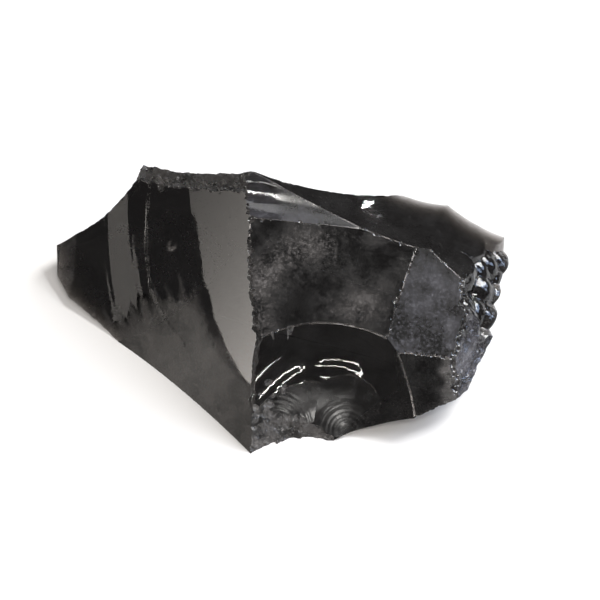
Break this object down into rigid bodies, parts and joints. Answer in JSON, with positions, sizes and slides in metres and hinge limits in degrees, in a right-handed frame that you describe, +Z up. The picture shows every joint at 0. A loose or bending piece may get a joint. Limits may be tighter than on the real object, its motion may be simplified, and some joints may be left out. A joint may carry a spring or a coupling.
{
  "type": "obsidian chunk",
  "caption": "Freshly broken lump of black volcanic glass with smooth shell-shaped fracture faces, sharp ridges and thin translucent edges.",
  "frame": {"origin": "under the middle of the bounding box, on the surface the chunk rests on", "axes": "+X along the longest extent towards the battered end, +Y towards the steep back, +Z up"},
  "size_m": [0.1028, 0.066, 0.0344],
  "materials": {
    "obsidian": "black volcanic glass, glossy where freshly broken, hazy and crushed in places"
  },
  "bodies": {
    "root": {"obsidian_chunk": "obsidian"}
  },
  "joints": []
}
